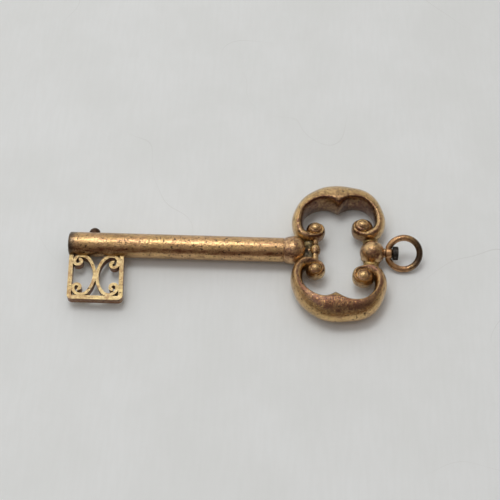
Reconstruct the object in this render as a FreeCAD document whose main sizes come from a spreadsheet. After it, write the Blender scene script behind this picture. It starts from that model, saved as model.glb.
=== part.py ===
import FreeCAD, Part
import itertools
import math
import os
import Sketcher

# A brass key-shaped pendant, in millimetres. X runs along the shank from the tip to the ring,
# Y points to the back edge (the bit hangs from the front edge, at -Y) and Z is up from the table.
# Places along the key are measured from the tip, heights from the key's centre line.

SIZES = {
    # Shank: a drawn brass tube with a plug in its tip.
    "shank_radius": 2.64,
    "shank_wall": 0.75,
    "shank_length": 46.1,
    "tube_end_round": 0.15,
    "solder_gap": 0.02,
    "tip_edge_radius": 0.5,
    "tip_dome_rise": 0.12,
    "tip_plug_length": 9.0,
    # Steel stud in the back of the shank, across from the bit.
    "stud_place": 5.25,
    "stud_head_radius": 1.22,
    "stud_head_lift": 0.2,
    "stud_pin_radius": 0.6,
    "stud_pin_length": 3.6,
    # Bit: a bracket of flat strip with two strip scrolls inside it. Its legs lean a little.
    "bit_place": 0.2,
    "bit_width": 11.7,
    "bit_reach": 13.4,
    "bit_lean": 3.5,
    "bit_drop": 0.8,
    "bar_width": 0.9,
    "bar_thickness": 1.6,
    "bar_corner_radius": 1.05,
    "bar_inner_corner_radius": 0.2,
    "strap_width": 0.68,
    "strap_thickness": 1.5,
    "strap_bite": 0.06,
    "strap_tube_bite": 0.2,
    # Collar ball at the end of the shank, with a tenon inside the tube.
    "collar_radius": 3.08,
    "collar_length": 4.65,
    "collar_crown_place": 2.15,
    "collar_start_drop": 0.1,
    "collar_end_radius": 0.85,
    "tenon_length": 8.0,
    # Little bead between the collar and the two scrolls.
    "bead_radius": 1.15,
    "bead_half_length": 1.6,
    "bead_offset": 0.25,
    "bead_neck_radius": 0.72,
    "bead_neck_reach": 3.0,
    "bridge_radius": 1.1,
    "bridge_drop": 0.8,
    "stem_radius": 0.45,
    "stem_ring_radius": 0.62,
    "stem_ring_gap": 0.18,
    "stem_socket_depth": 1.2,
    # Bow: two big C-scrolls, back and front. The front one is a little bent about its first eye.
    "collar_to_eye": 2.1,
    "bow_half_width": 10.15,
    "bow_reach": 16.7,
    "front_cusp_shift": 0.55,
    "front_swing": 2.0,
    "lobe_half_thickness": 3.0,
    "shank_eye_reach": 5.1,
    "ring_eye_reach": 6.1,
    "shank_button_radius": 1.15,
    "ring_button_radius": 1.35,
    "button_half_height": 2.2,
    "web_half_thickness": 2.1,
    # Ball at the end of the bow, with a low short block to each scroll.
    "eye_to_finial": 2.0,
    "finial_radius": 2.65,
    "link_radius": 1.25,
    "link_drop": 1.2,
    "link_reach": 3.7,
    # Swivel: a steel pin through the eye of the ring, with a low seat for it on the ball.
    "pin_seat_radius": 1.05,
    "pin_seat_gap": 0.05,
    "swivel_pin_radius": 0.5,
    "swivel_pin_depth": 2.4,
    "running_gap": 0.05,
    "boss_play": 0.12,
    "head_gap": 0.08,
    "boss_radius": 1.2,
    "boss_length": 1.53,
    "boss_edge": 0.45,
    "pin_head_radius": 1.47,
    "pin_head_length": 1.15,
    "pin_head_edge": 0.2,
    "ring_radius": 3.42,
    "ring_wire_radius": 0.68,
    "ring_seat": 0.53,
    "ring_tilt": 42.0,
    # How far cutting shapes run past what they cut.
    "overrun": 0.5,
}

doc = FreeCAD.newDocument("brass_key")
sheet = doc.addObject("Spreadsheet::Sheet", "Sizes")
rows = itertools.count(1)


def name_cell(alias, content):
    """Write one named cell on the sheet's next row."""
    row = next(rows)
    sheet.set(f"A{row}", alias)
    sheet.set(f"B{row}", content)
    sheet.setAlias(f"B{row}", alias)


for size_name, number in SIZES.items():
    name_cell(size_name, str(number))
doc.recompute()


class Size:
    """A size with its value now and the formula that ties it to the sheet."""

    def __init__(self, value, formula):
        self.value = value
        self.formula = formula

    def __add__(self, other):
        other = as_size(other)
        return Size(self.value + other.value, f"({self.formula} + {other.formula})")

    def __sub__(self, other):
        other = as_size(other)
        return Size(self.value - other.value, f"({self.formula} - {other.formula})")

    def __mul__(self, share):
        share = as_size(share)
        return Size(self.value * share.value, f"({self.formula} * {share.formula})")

    def __truediv__(self, share):
        share = as_size(share)
        return Size(self.value / share.value, f"({self.formula} / {share.formula})")

    def __neg__(self):
        return Size(-self.value, f"(0 - {self.formula})")


def as_size(number):
    """A Size as it is, or a plain share or zero made into one."""
    if isinstance(number, Size):
        return number
    return Size(float(number), f"({float(number):.9f})")


def read(alias):
    """The named size, with the value that its cell holds."""
    return Size(float(sheet.get(alias)), f"Sizes.{alias}")


def keep(alias, size):
    """Give a worked-out size its own named cell below the driving sizes."""
    name_cell(alias, "=" + size.formula.replace("Sizes.", ""))
    return Size(size.value, f"Sizes.{alias}")


shank_radius = read("shank_radius")
bore_radius = keep("bore_radius", shank_radius - read("shank_wall"))
shank_length = read("shank_length")
solder_gap = read("solder_gap")
overrun = read("overrun")
collar_radius = read("collar_radius")
lobe_half_thickness = read("lobe_half_thickness")

# The bow's pieces follow one another from the end of the collar. Each scroll's two eyes lie
# this share of the bow's half width from its middle.
EYE_SHARES = {"shank": -0.4877, "ring": 0.5123}
bow_half_width = read("bow_half_width")
collar_end = keep("collar_end", shank_length + read("collar_length"))
shank_eye_place = keep("shank_eye_place", collar_end + read("collar_to_eye"))
bow_centre = keep("bow_centre", shank_eye_place - bow_half_width * EYE_SHARES["shank"])
ring_eye_place = keep("ring_eye_place", bow_centre + bow_half_width * EYE_SHARES["ring"])
finial_place = keep("finial_place", ring_eye_place + read("eye_to_finial"))

# The swivel's pieces follow one another from the end of the finial ball.
finial_radius = read("finial_radius")
boss_start = keep("boss_start", finial_place + finial_radius + read("boss_play"))
head_start = keep("head_start", boss_start + read("boss_length") + read("head_gap"))
ring_radius = read("ring_radius")
ring_wire_radius = read("ring_wire_radius")
ring_centre = keep("ring_centre", boss_start + read("ring_seat") + ring_radius)

# The frame's origin lies under the middle of the whole length, on the table.
whole_length = keep("whole_length", ring_centre + ring_radius + ring_wire_radius)
table_drop = collar_radius


def place(piece, along=0, across=0, up=0):
    """Put a piece that many millimetres from the tip, off the centre line and above it."""
    spots = {"x": as_size(along) - whole_length / 2, "y": as_size(across), "z": as_size(up) + table_drop}
    for axis, spot in spots.items():
        piece.setExpression(f"Placement.Base.{axis}", spot.formula)


def turn(piece, axis, angle):
    """Turn a piece about one axis through its own origin."""
    piece.Placement.Rotation = FreeCAD.Rotation(axis, 0)
    piece.setExpression("Placement.Rotation.Angle", as_size(angle).formula)


ALONG = FreeCAD.Vector(1, 0, 0)
ACROSS = FreeCAD.Vector(0, 1, 0)
UP = FreeCAD.Vector(0, 0, 1)
QUARTER = 90.0
HALF = 180.0
FULL_TURN = 360.0


def primitive(kind, name, **sizes):
    """A Part primitive whose sizes are bound to the sheet."""
    piece = doc.addObject(f"Part::{kind}", name)
    for field, amount in sizes.items():
        piece.setExpression(field, as_size(amount).formula)
    return piece


def cut(name, base, tool):
    """The base with the tool's shape taken out of it."""
    piece = doc.addObject("Part::Cut", name)
    piece.Base = base
    piece.Tool = tool
    return piece


def fuse(name, *pieces):
    """Several shapes made into one solid."""
    piece = doc.addObject("Part::MultiFuse", name)
    piece.Shapes = list(pieces)
    piece.Refine = True
    return piece


def new_sketch(body, name, plane):
    """A sketch on one of the body's own origin planes."""
    sketch = body.newObject("Sketcher::SketchObject", name)
    sketch.AttachmentSupport = [(next(f for f in body.Origin.OriginFeatures if f.Role == plane), "")]
    sketch.MapMode = "FlatFace"
    return sketch


def arc_between(start, stop, radius, way):
    """Arc of that radius from start to stop, turning left (way 1) or right (way -1)."""
    chord = stop - start
    middle = (start + stop) * 0.5
    rise = math.sqrt(max(radius ** 2 - (chord.Length / 2) ** 2, 0.0))
    left = FreeCAD.Vector(-chord.y, chord.x, 0).normalize()
    centre = middle + left * rise * way
    first, last = (start, stop) if way > 0 else (stop, start)
    angles = [math.atan2(end.y - centre.y, end.x - centre.x) for end in (first, last)]
    return Part.ArcOfCircle(Part.Circle(centre, UP, radius), angles[0], angles[1])


def outline(sketch, corners):
    """Draw a closed outline and bind it.

    A corner is (across, up) before a straight run, or (across, up, radius, way) before an arc.
    """
    runs = []
    for number, corner in enumerate(corners):
        following = corners[(number + 1) % len(corners)]
        start, stop = [FreeCAD.Vector(as_size(spot[0]).value, as_size(spot[1]).value, 0)
                       for spot in (corner, following)]
        if len(corner) == 2:
            edge = sketch.addGeometry(Part.LineSegment(start, stop), False)
            runs.append((edge, 1, 2))
        else:
            radius, way = corner[2:]
            edge = sketch.addGeometry(arc_between(start, stop, radius.value, way), False)
            runs.append((edge, 1, 2) if way > 0 else (edge, 2, 1))
            rule = sketch.addConstraint(Sketcher.Constraint("Radius", edge, radius.value))
            sketch.setExpression(f"Constraints[{rule}]", radius.formula)
    for number, corner in enumerate(corners):
        edge, begin, _ = runs[number]
        before, _, finish = runs[number - 1]
        sketch.addConstraint(Sketcher.Constraint("Coincident", before, finish, edge, begin))
        for rule_name, spot in (("DistanceX", corner[0]), ("DistanceY", corner[1])):
            if as_size(spot).formula == as_size(0).formula:
                line = -2 if rule_name == "DistanceX" else -1
                sketch.addConstraint(Sketcher.Constraint("PointOnObject", edge, begin, line))
                continue
            rule = sketch.addConstraint(Sketcher.Constraint(rule_name, edge, begin, spot.value))
            sketch.setExpression(f"Constraints[{rule}]", spot.formula)


def turned(name, axis, corners):
    """A body turned about the X, Y or Z axis from half of its lengthwise section."""
    body = doc.addObject("PartDesign::Body", name)
    sketch = new_sketch(body, f"{name}_section", "XZ_Plane" if axis == "Z" else "XY_Plane")
    outline(sketch, corners)
    solid = body.newObject("PartDesign::Revolution", f"{name}_turning")
    solid.Profile = sketch
    solid.ReferenceAxis = (sketch, ["H_Axis" if axis == "X" else "V_Axis"])
    solid.Angle = FULL_TURN
    return body


def plate(name, thickness, corners):
    """A flat body of even thickness, centred on its own XY plane."""
    body = doc.addObject("PartDesign::Body", name)
    sketch = new_sketch(body, f"{name}_outline", "XY_Plane")
    outline(sketch, corners)
    solid = body.newObject("PartDesign::Pad", f"{name}_pad")
    solid.Profile = sketch
    solid.Midplane = True
    solid.setExpression("Length", thickness.formula)
    return body


def shank_rod(name, radius, start, length):
    """A cylinder along the key."""
    rod = primitive("Cylinder", name, Radius=radius, Height=length)
    place(rod, along=start)
    turn(rod, ACROSS, QUARTER)
    return rod


def cross_rod(name, radius, along, start, length, up=0):
    """A cylinder across the key, running towards the front edge from its start."""
    rod = primitive("Cylinder", name, Radius=radius, Height=length)
    place(rod, along=along, across=start, up=up)
    turn(rod, ALONG, QUARTER)
    return rod


# The shank's tube, its bore open at both ends, drilled through the back wall for the stud.

tip_edge_radius = read("tip_edge_radius")
stud_place = read("stud_place")
stud_pin_radius = read("stud_pin_radius")
stud_pin_length = read("stud_pin_length")

tip_head_length = keep("tip_head_length", tip_edge_radius + read("tip_dome_rise"))
tube_end_round = read("tube_end_round")
tube = turned("tube", "X", [
    (tip_head_length, bore_radius),
    (shank_length, bore_radius),
    (shank_length, shank_radius - tube_end_round, tube_end_round, 1),
    (shank_length - tube_end_round, shank_radius),
    (tip_head_length, shank_radius),
])
place(tube)
stud_hole = cross_rod("stud_hole", stud_pin_radius + solder_gap, stud_place,
                      shank_radius + overrun, stud_pin_length + overrun + solder_gap)
shank_tube = cut("shank_tube", tube, stud_hole)

# The tip's plug: a low domed head as wide as the tube, and a body that fills the bore.

plug_radius = keep("plug_radius", bore_radius - solder_gap)
plug_end = tip_head_length + read("tip_plug_length")
edge_ring_radius = shank_radius - tip_edge_radius
dome_radius = keep("dome_radius", (
    edge_ring_radius * edge_ring_radius + tip_head_length * tip_head_length
    - tip_edge_radius * tip_edge_radius) / (read("tip_dome_rise") * 2))
edge_share = dome_radius / (dome_radius - tip_edge_radius)
plug = turned("plug", "X", [
    (as_size(0), as_size(0)),
    (plug_end, as_size(0)),
    (plug_end, plug_radius),
    (tip_head_length, plug_radius),
    (tip_head_length, shank_radius, tip_edge_radius, 1),
    (dome_radius - (dome_radius - tip_head_length) * edge_share, edge_ring_radius * edge_share,
     dome_radius, 1),
])
place(plug)
plug_hole = cross_rod("plug_hole", stud_pin_radius + solder_gap, stud_place,
                      shank_radius + overrun, stud_pin_length + overrun + solder_gap)
tip_plug = cut("tip_plug", plug, plug_hole)

# The steel stud: half a ball that sits on the tube, and its pin into the plug.

stud_ball = primitive("Sphere", "stud_ball", Radius=read("stud_head_radius"))
place(stud_ball, along=stud_place, across=shank_radius + read("stud_head_lift"))
stud_seat = shank_rod("stud_seat", shank_radius, stud_place - stud_pin_length, stud_pin_length * 2)
stud_head = cut("stud_head", stud_ball, stud_seat)
stud_pin = cross_rod("stud_pin", stud_pin_radius, stud_place, shank_radius, stud_pin_length)
stud = fuse("stud", stud_head, stud_pin)

# The bit's bracket: three bars with rounded outer corners. Its two legs lean towards the bow
# as they leave the shank, and are coped to the tube.

bit_place = read("bit_place")
bit_width = read("bit_width")
bit_reach = read("bit_reach")
bit_drop = read("bit_drop")
bar_width = read("bar_width")
bar_corner = read("bar_corner_radius")
bar_inner_corner = read("bar_inner_corner_radius")
lean_slope = Size(math.tan(math.radians(read("bit_lean").value)), "tan(Sizes.bit_lean * 1 deg)")
legs_start = -(shank_radius / 2)


def leaning(corners):
    """Slide each corner along the shank in step with how far out it lies."""
    return [(corner[0] - corner[1] * lean_slope, *corner[1:]) for corner in corners]


bracket = plate("bracket", read("bar_thickness"), leaning([
    (as_size(0), legs_start),
    (as_size(0), bar_corner - bit_reach, bar_corner, 1),
    (bar_corner, -bit_reach),
    (bit_width - bar_corner, -bit_reach, bar_corner, 1),
    (bit_width, bar_corner - bit_reach),
    (bit_width, legs_start),
    (bit_width - bar_width, legs_start),
    (bit_width - bar_width, bar_width + bar_inner_corner - bit_reach, bar_inner_corner, -1),
    (bit_width - bar_width - bar_inner_corner, bar_width - bit_reach),
    (bar_width + bar_inner_corner, bar_width - bit_reach, bar_inner_corner, -1),
    (bar_width, bar_width + bar_inner_corner - bit_reach),
    (bar_width, legs_start),
]))
place(bracket, along=bit_place, up=-bit_drop)
bracket_seat = shank_rod("bracket_seat", shank_radius, bit_place - overrun, bit_width * 2)
bit_bracket = cut("bit_bracket", bracket, bracket_seat)

# Each bit scroll is one strip: a long belly arc between two curls of shrinking arcs. The belly
# and the curls are sized so that the strip meets the tube, the far bar, its own side bar and
# the other scroll. The curl near the tube is flatter and the far one looser, equally wide.
# An arc of a curl is (its radius as a share of the near curl's first arc, degrees it turns).

BELLY_HALF_TURN = 35.7
belly_sine = math.sin(math.radians(BELLY_HALF_TURN))
belly_cosine = math.cos(math.radians(BELLY_HALF_TURN))
EYELET_SHARES = ((0.357, QUARTER), (0.32, QUARTER), (0.268, QUARTER))
SIDE_ARC_SHARE = 0.6
LOOSE_ARC_SHARE = (belly_cosine + SIDE_ARC_SHARE) / (belly_cosine + 1)
NEAR_ARCS = ((1.0, QUARTER - BELLY_HALF_TURN), (SIDE_ARC_SHARE, QUARTER))
# The bow-side scroll runs on beside its bar for a little, so its eyelet hangs lower.
SIDE_RUN_SHARES = ((2.4, 9.0),)
NEAR_CURL_SHARES = {1: NEAR_ARCS + EYELET_SHARES, -1: NEAR_ARCS + SIDE_RUN_SHARES + EYELET_SHARES}
FAR_CURL_SHARES = ((LOOSE_ARC_SHARE, HALF - BELLY_HALF_TURN), *EYELET_SHARES)
strap_width = read("strap_width")
strap_thickness = read("strap_thickness")
strap_bite = read("strap_bite")
window_half_width = keep("window_half_width", bit_width / 2 - bar_width)
strap_low = bar_width - bit_reach - strap_bite
strap_high = read("strap_tube_bite") - shank_radius
strap_height = strap_high - strap_low - strap_width
scroll_width = keep("scroll_width", window_half_width + strap_bite * 2 - strap_width)

# With the belly's radius b and the curl's c, the height is b * sin * 2 + c * rise_share
# and the width is b * (1 - cos) + c * side_share. These two rules are solved for b and c.
rise_share = (1 + LOOSE_ARC_SHARE) * (1 - belly_sine)
side_share = belly_cosine + SIDE_ARC_SHARE
both_shares = belly_sine * side_share * 2 - (1 - belly_cosine) * rise_share
belly_radius = keep("belly_radius", (strap_height * side_share - scroll_width * rise_share) / both_shares)
curl_radius = keep("curl_radius", (scroll_width * belly_sine * 2
                                   - strap_height * (1 - belly_cosine)) / both_shares)
belly_rise = belly_radius * belly_sine + curl_radius * (LOOSE_ARC_SHARE * (1 - belly_sine))
strap_middle = keep("strap_middle", strap_low + strap_width / 2 + belly_rise)


def step(point, heading, distance):
    """The point that lies that far away in that heading."""
    angle = math.radians(heading)
    return (point[0] + distance * math.cos(angle), point[1] + distance * math.sin(angle))


def curl_joints(curl_shares):
    """Joints of the strip's middle line as (point, heading) from its belly out, and their arcs' radii."""
    point = (scroll_width / 2, as_size(0))
    heading = QUARTER
    joints = []
    arcs = [(belly_radius, BELLY_HALF_TURN)] + [(curl_radius * share, angle) for share, angle in curl_shares]
    for radius, angle in arcs:
        centre = step(point, heading + QUARTER, radius)
        heading += angle
        point = step(centre, heading - QUARTER, radius)
        joints.append((point, heading))
    return joints, [radius for radius, _ in arcs]


def strip_corners(side):
    """Outline of the scroll's strip; side 1 opens towards the tip and -1 towards the bow."""
    near_joints, near_radii = curl_joints(NEAR_CURL_SHARES[side])
    far_joints, far_radii = curl_joints(FAR_CURL_SHARES)
    joints = [((x, -y), HALF - heading) for (x, y), heading in reversed(far_joints)] + near_joints
    radii = list(reversed(far_radii[1:])) + near_radii
    half = strap_width / 2
    convex = [step(point, heading - QUARTER, half) for point, heading in joints]
    concave = [step(point, heading + QUARTER, half) for point, heading in reversed(joints)]
    corners = [(x, y, radius + half, 1) for (x, y), radius in zip(convex, radii)] + [convex[-1]]
    corners += [(x, y, radius - half, -1) for (x, y), radius in zip(concave, reversed(radii))] + [concave[-1]]
    if side < 0:
        corners = [(-x, y, radius[0], -radius[1]) if radius else (-x, y) for x, y, *radius in corners]
    return corners


def bit_scroll(name, side):
    """One strip scroll, trimmed flat where it meets the bars, the tube and the other scroll."""
    middle = bit_width / 2 - strap_middle * lean_slope
    strip = plate(f"{name}_strip", strap_thickness, strip_corners(side))
    place(strip, along=bit_place + middle - ((scroll_width + strap_width) / 2 - strap_bite) * side,
          across=strap_middle, up=-bit_drop)
    turn(strip, UP, read("bit_lean"))
    window_side = bit_width / 2 - window_half_width * side
    window = plate(f"{name}_window", strap_thickness * 2, leaning([
        (window_side, legs_start),
        (window_side, bar_width - bit_reach),
        (bit_width / 2, bar_width - bit_reach),
        (bit_width / 2, legs_start),
    ]))
    place(window, along=bit_place, up=-bit_drop)
    inside = doc.addObject("Part::MultiCommon", f"{name}_inside")
    inside.Shapes = [strip, window]
    seat = shank_rod(f"{name}_seat", shank_radius, bit_place, bit_width * 2)
    return cut(name, inside, seat)


bit_scroll_tip_side = bit_scroll("bit_scroll_tip_side", 1)
bit_scroll_bow_side = bit_scroll("bit_scroll_bow_side", -1)

# The collar: a squat ball that swells from the tube's own width, with a tenon inside the tube.
# A socket in its far end holds the bead's stem.

collar_length = read("collar_length")
collar_crown = read("collar_crown_place")
collar_end_radius = read("collar_end_radius")
stem_radius = read("stem_radius")
socket_depth = read("stem_socket_depth")
collar_start_radius = shank_radius - read("collar_start_drop")
swell = collar_radius - collar_start_radius
fore_radius = (collar_crown * collar_crown + swell * swell) / (swell * 2)
aft_length = collar_length - collar_crown
aft_drop = collar_radius - collar_end_radius
aft_radius = (aft_length * aft_length + aft_drop * aft_drop) / (aft_drop * 2)
shank_collar = turned("shank_collar", "X", [
    (-read("tenon_length"), as_size(0)),
    (collar_length - socket_depth, as_size(0)),
    (collar_length - socket_depth, stem_radius + solder_gap),
    (collar_length, stem_radius + solder_gap),
    (collar_length, collar_end_radius, aft_radius, 1),
    (collar_crown, collar_radius, fore_radius, 1),
    (as_size(0), collar_start_radius),
    (as_size(0), plug_radius),
    (-read("tenon_length"), plug_radius),
])
place(shank_collar, along=shank_length)

# The bow's scrolls. Each section is two half ovals that share a crest: (place of the crest away
# from the bow's middle as a share of the half width, its reach as a share of the way from the
# shank's eye to the bow's reach, direction of the outer side in degrees, then the inner and outer
# widths and the half thickness as shares of the lobe's half thickness).

SHANK_ARM_SHARES = (
    (0.000, 0.634, 90, 0.73, 1.42, 1.000),
    (0.015, 0.634, 90, 0.69, 1.42, 1.000),
    (0.088, 0.629, 92, 0.47, 1.42, 1.000),
    (0.205, 0.646, 97, 0.35, 1.28, 0.985),
    (0.390, 0.626, 106, 0.25, 1.05, 0.965),
    (0.610, 0.531, 128, 0.25, 0.80, 0.930),
    (0.766, 0.388, 150, 0.28, 0.57, 0.885),
    (0.854, 0.198, 172, 0.38, 0.47, 0.820),
    (0.858, 0.043, 188, 0.40, 0.40, 0.755),
    (0.790, -0.103, 213, 0.42, 0.38, 0.690),
    (0.654, -0.185, 240, 0.53, 0.32, 0.650),
)
RING_ARM_SHARES = (
    (0.000, 0.634, 90, 0.73, 1.42, 1.000),
    (0.015, 0.634, 90, 0.69, 1.42, 1.000),
    (0.088, 0.633, 92, 0.46, 1.41, 1.000),
    (0.215, 0.659, 96, 0.23, 1.22, 0.985),
    (0.410, 0.672, 104, 0.25, 1.02, 0.950),
    (0.585, 0.621, 120, 0.25, 0.87, 0.920),
    (0.722, 0.509, 140, 0.27, 0.70, 0.870),
    (0.824, 0.362, 160, 0.32, 0.53, 0.820),
    (0.868, 0.198, 178, 0.38, 0.48, 0.770),
    (0.839, 0.043, 198, 0.40, 0.42, 0.720),
    (0.771, -0.048, 220, 0.50, 0.38, 0.683),
    (0.659, -0.109, 242, 0.47, 0.30, 0.650),
)
# The volute goes on round its button: (direction in degrees, rim's inner and outer widths as
# shares of the button's radius, half thickness as a share of the lobe's half thickness).
VOLUTE_SHARES = (
    (270, 0.70, 0.60, 0.540),
    (303, 0.58, 0.54, 0.525),
    (340, 0.48, 0.48, 0.500),
    (385, 0.34, 0.40, 0.465),
    (420, 0.20, 0.29, 0.410),
    (455, 0.10, 0.17, 0.330),
)
# How full each volute's rim is, beside those shares.
RIM_SHARES = {"shank": 1.06, "ring": 0.92}
# The rim's inner edge reaches this share of the button's radius into the button's hole.
RIM_OVERLAP_SHARE = 0.06
# A low web fills the volute and the crotch beside it: how far its middle lies from the button's,
# away from the bow's middle, and its radius, as shares of the button's radius.
WEB_SHARES = (0.3, 1.42)

# A cusp's shift along the key fades out along its arms with this power of the way to their sides.
SHIFT_FADE = 3

bow_reach = read("bow_reach")
shank_eye_reach = read("shank_eye_reach")
button_half_height = read("button_half_height")
EYES = {
    "shank": (shank_eye_place, shank_eye_reach, read("shank_button_radius"), -1),
    "ring": (ring_eye_place, read("ring_eye_reach"), read("ring_button_radius"), 1),
}


front_swing = read("front_swing")
swing_sine = Size(math.sin(math.radians(front_swing.value)), "sin(Sizes.front_swing * 1 deg)")
swing_cosine = Size(math.cos(math.radians(front_swing.value)), "cos(Sizes.front_swing * 1 deg)")


def eye_spot(eye, edge):
    """Where an eye lies, along and across the key; edge 1 is the back and -1 the bent front."""
    eye_place, eye_reach = EYES[eye][:2]
    if edge > 0:
        return eye_place, eye_reach
    aside = eye_place - shank_eye_place
    deeper = eye_reach - shank_eye_reach
    return (shank_eye_place + aside * swing_cosine - deeper * swing_sine,
            -(shank_eye_reach + deeper * swing_cosine + aside * swing_sine))


def half_oval(crest, outward, width, thickness):
    """Half an oval from the under crest to the upper one, bulging outward by that width."""
    half_circle = Part.Arc(FreeCAD.Vector(0, -1, 0), FreeCAD.Vector(1, 0, 0), FreeCAD.Vector(0, 1, 0))
    side = outward * width
    back = outward.cross(UP)
    stretch = FreeCAD.Matrix(
        side.x, 0, back.x, crest.x,
        side.y, 0, back.y, crest.y,
        0, thickness, 0, 0,
        0, 0, 0, 1)
    return half_circle.toShape().transformGeometry(stretch)


def arm(station_shares, eye, edge, cusp_shift):
    """Half of a C-scroll, from the cusp in its middle to the end of its volute."""
    *eye_sizes, side = EYES[eye]
    eye_place, eye_reach, button_radius = [size.value for size in eye_sizes]
    unit = lobe_half_thickness.value
    middle = bow_centre.value
    stations = []
    low = shank_eye_reach.value
    for across, reach, direction, inner, outer, thick in station_shares:
        shift = cusp_shift * (1 - across) ** SHIFT_FADE
        crest = (middle + side * across * bow_half_width.value - shift, low + reach * (bow_reach.value - low))
        stations.append((crest, direction, inner * unit, outer * unit, thick * unit))
    for direction, inner, outer, thick in VOLUTE_SHARES:
        angle = math.radians(direction)
        inner *= RIM_SHARES[eye]
        outer *= RIM_SHARES[eye]
        distance = button_radius * (1 + inner - RIM_OVERLAP_SHARE)
        crest = (eye_place - side * distance * math.cos(angle), eye_reach + distance * math.sin(angle))
        stations.append((crest, direction, inner * button_radius, outer * button_radius, thick * unit))
    sections = []
    for (along, across), direction, inner, outer, thickness in stations:
        angle = math.radians(direction)
        crest = FreeCAD.Vector(along, across * edge, 0)
        outward = FreeCAD.Vector(-math.cos(angle) * side, math.sin(angle) * edge, 0)
        sections.append(Part.Wire([half_oval(crest, outward, outer, thickness),
                                   half_oval(crest, -outward, inner, thickness)]))
    return Part.makeLoft(sections, True, False)


def upright_rod(name, radius, along, across, half_height):
    """A cylinder that stands across the key's plane, half above it and half below."""
    rod = primitive("Cylinder", name, Radius=radius, Height=half_height * 2)
    place(rod, along=along, across=across, up=-half_height)
    return rod


def bow_scroll(name, edge, cusp_shift, swing):
    """One big C-scroll with its two eyes bored; edge 1 is the back and -1 the front."""
    scroll = arm(SHANK_ARM_SHARES, "shank", edge, cusp_shift).fuse(
        arm(RING_ARM_SHARES, "ring", edge, cusp_shift))
    first_eye = FreeCAD.Vector(shank_eye_place.value, shank_eye_reach.value * edge, 0)
    bend = FreeCAD.Placement(FreeCAD.Vector(), FreeCAD.Rotation(UP, -swing), first_eye)
    arms = doc.addObject("Part::Feature", f"{name}_arms")
    arms.Shape = scroll.transformGeometry(bend.toMatrix())
    place(arms)
    webs = []
    holes = []
    for eye, (_, _, button_radius, side) in EYES.items():
        eye_along, eye_across = eye_spot(eye, edge)
        aside, width = WEB_SHARES
        web = primitive("Ellipsoid", f"{name}_{eye}_web", Radius1=read("web_half_thickness"),
                        Radius2=button_radius * width, Radius3=button_radius * width)
        place(web, along=eye_along + button_radius * aside * side, across=eye_across)
        webs.append(web)
        holes.append(upright_rod(f"{name}_{eye}_hole", button_radius + solder_gap, eye_along,
                                 eye_across, lobe_half_thickness))
    return cut(name, fuse(f"{name}_solid", arms, *webs), fuse(f"{name}_holes", *holes, shank_collar))


bow_scroll_back = bow_scroll("bow_scroll_back", 1, 0, 0)
bow_scroll_front = bow_scroll("bow_scroll_front", -1, read("front_cusp_shift").value, front_swing.value)


def button(name, eye, edge):
    """A button through a volute's eye, domed on both faces; edge 1 is the back and -1 the front."""
    radius = EYES[eye][2]
    eye_along, eye_across = eye_spot(eye, edge)
    straight = button_half_height - radius
    piece = turned(name, "Z", [
        (as_size(0), -button_half_height, radius, 1),
        (radius, -straight),
        (radius, straight, radius, 1),
        (as_size(0), button_half_height),
    ])
    place(piece, along=eye_along, across=eye_across)
    return piece


buttons = [button(f"volute_button_{edge_name}_{eye}", eye, edge)
           for edge_name, edge in (("back", 1), ("front", -1)) for eye in EYES]

# The bead: a ball on a stem from the collar, with a neck to the volute on each side. A lower
# bridge runs across between the collar and the neck, and closes the corner there.

bridge_radius = read("bridge_radius")
bead_place = shank_eye_place
stem_ring_radius = read("stem_ring_radius")
bead_ball = primitive("Ellipsoid", "bead_ball", Radius1=read("bead_radius"),
                      Radius2=read("bead_radius"), Radius3=read("bead_half_length"))
place(bead_ball, along=bead_place, across=read("bead_offset"))
neck_reach = read("bead_neck_reach")
bead_neck = cross_rod("bead_neck", read("bead_neck_radius"), bead_place, neck_reach, neck_reach * 2)
stem_start = collar_end - socket_depth + solder_gap
bead_stem = shank_rod("bead_stem", stem_radius, stem_start, bead_place - stem_start)
stem_ring = primitive("Sphere", "stem_ring", Radius=stem_ring_radius)
place(stem_ring, along=collar_end + stem_ring_radius + read("stem_ring_gap"))
bridge = cross_rod("bridge", bridge_radius, collar_end + solder_gap + bridge_radius,
                   neck_reach, neck_reach * 2, up=-read("bridge_drop"))
bead_solid = fuse("bead_solid", bead_ball, bead_neck, bead_stem, stem_ring, bridge)
both_scrolls = doc.addObject("Part::Compound", "both_scrolls")
both_scrolls.Links = [bow_scroll_back, bow_scroll_front]
centre_bead = cut("centre_bead", bead_solid, both_scrolls)

# The finial ball has a low seat for the ring's eye, and is bored through it for the swivel pin.
# Two blocks carry it between the scrolls, low enough to leave the ball in full sight.

pin_radius = read("swivel_pin_radius")
pin_start = finial_place + finial_radius - read("swivel_pin_depth")
ball = primitive("Sphere", "ball", Radius=finial_radius)
place(ball, along=finial_place)
pin_seat = shank_rod("pin_seat", read("pin_seat_radius"), finial_place,
                     boss_start - read("pin_seat_gap") - finial_place)
ball_solid = fuse("ball_solid", ball, pin_seat)
ball_bore = shank_rod("ball_bore", pin_radius, pin_start, boss_start + overrun - pin_start)
finial_ball = cut("finial_ball", ball_solid, ball_bore)


def link(name, edge):
    """The short block between the ball and one scroll; edge 1 is the back and -1 the front."""
    reach = read("link_reach")
    start = reach if edge > 0 else as_size(0)
    block = cross_rod(f"{name}_block", read("link_radius"), finial_place, start, reach,
                      up=-read("link_drop"))
    ball_seat = primitive("Sphere", f"{name}_ball_seat", Radius=finial_radius)
    place(ball_seat, along=finial_place)
    seated = cut(f"{name}_seated", block, ball_seat)
    return cut(name, seated, bow_scroll_back if edge > 0 else bow_scroll_front)


link_back = link("link_back", 1)
link_front = link("link_front", -1)

# The swivel: a steel pin fixed in the ball, with a broad head that keeps the ring's boss on it.

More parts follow.
